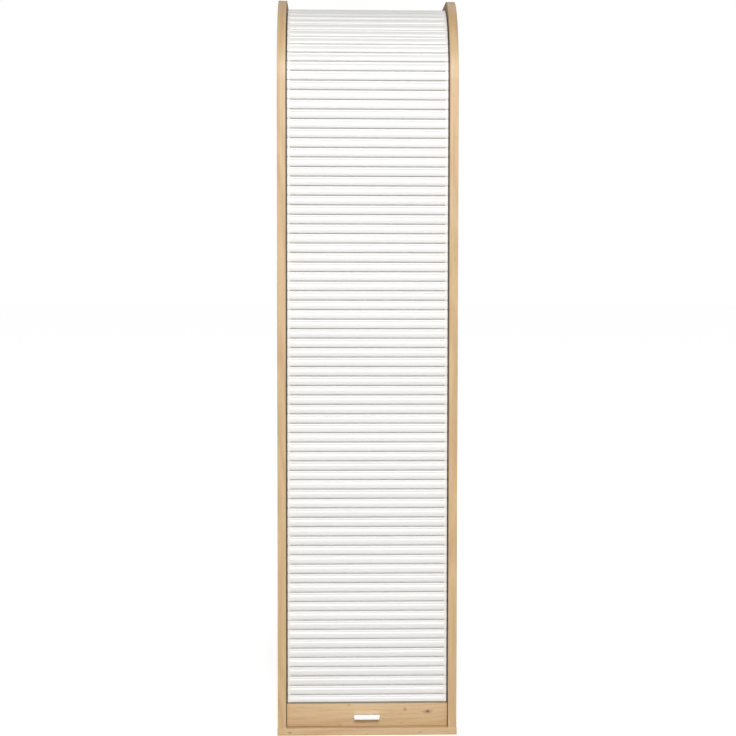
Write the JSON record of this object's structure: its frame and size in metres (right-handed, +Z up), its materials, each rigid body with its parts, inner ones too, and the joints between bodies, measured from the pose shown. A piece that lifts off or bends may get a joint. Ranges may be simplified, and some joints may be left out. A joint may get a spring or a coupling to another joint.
{
  "type": "tambour door cabinet",
  "caption": "Tall narrow cabinet with rounded front top corner, shelves and a slatted curtain door that rolls up over the top by a lip handle on an oak lead rail.",
  "frame": {"origin": "centre of the base board's underside", "axes": "+Z up, -Y towards the front with the curtain and handle, +X to the right seen from the front"},
  "size_m": [0.467, 0.44, 1.92],
  "materials": {
    "oak_board": "satin oak-effect melamine",
    "slat_pvc": "white extruded plastic",
    "track_plastic": "dark extruded plastic",
    "handle_metal": "satin",
    "zinc_steel": "zinc plated",
    "dowel_beech": "raw",
    "back_board": "printed hardboard"
  },
  "bodies": {
    "carcass": {"base_board": "oak_board", "left_side_panel": "oak_board", "left_track": "track_plastic", "right_side_panel": "oak_board", "right_track": "track_plastic", "inner_top_panel": "oak_board", "top_panel_dowel_left_front": "dowel_beech", "top_panel_dowel_left_rear": "dowel_beech", "top_panel_dowel_right_front": "dowel_beech", "top_panel_dowel_right_rear": "dowel_beech", "false_back": "oak_board", "back_panel": "back_board", "base_screw_1": "zinc_steel", "base_screw_2": "zinc_steel", "base_screw_3": "zinc_steel", "base_screw_4": "zinc_steel", "shelf_1": "oak_board", "shelf_1_pin_left_front": "zinc_steel", "shelf_1_pin_left_rear": "zinc_steel", "shelf_1_pin_right_front": "zinc_steel", "shelf_1_pin_right_rear": "zinc_steel", "shelf_2": "oak_board", "shelf_2_pin_left_front": "zinc_steel", "shelf_2_pin_left_rear": "zinc_steel", "shelf_2_pin_right_front": "zinc_steel", "shelf_2_pin_right_rear": "zinc_steel", "fixed_shelf": "oak_board", "fixed_shelf_dowel_left_front": "dowel_beech", "fixed_shelf_dowel_left_rear": "dowel_beech", "fixed_shelf_dowel_right_front": "dowel_beech", "fixed_shelf_dowel_right_rear": "dowel_beech", "shelf_3": "oak_board", "shelf_3_pin_left_front": "zinc_steel", "shelf_3_pin_left_rear": "zinc_steel", "shelf_3_pin_right_front": "zinc_steel", "shelf_3_pin_right_rear": "zinc_steel", "curtain_front": "slat_pvc", "curtain_arc": "slat_pvc", "curtain_top": "slat_pvc", "curtain_rear_bend": "slat_pvc"},
    "door_lead": {"lead_rail": "oak_board", "left_glide": "track_plastic", "right_glide": "track_plastic", "handle": "handle_metal", "handle_screw_left": "zinc_steel", "handle_screw_right": "zinc_steel"},
    "curtain_tail": {"tail_slat": "slat_pvc"}
  },
  "joints": [
    {"name": "door_lift", "type": "slide", "parent": "carcass", "child": "door_lead", "axis": [0, 0, 1], "range_m": [0, 1.568], "deforming": ["curtain_front"]},
    {"name": "tail_drop", "type": "slide", "parent": "carcass", "child": "curtain_tail", "axis": [0, 0, -1], "range_m": [0, 1.568]}
  ],
  "couplings": [
    {"joint": "tail_drop", "follows": "door_lift", "ratio": 1}
  ]
}
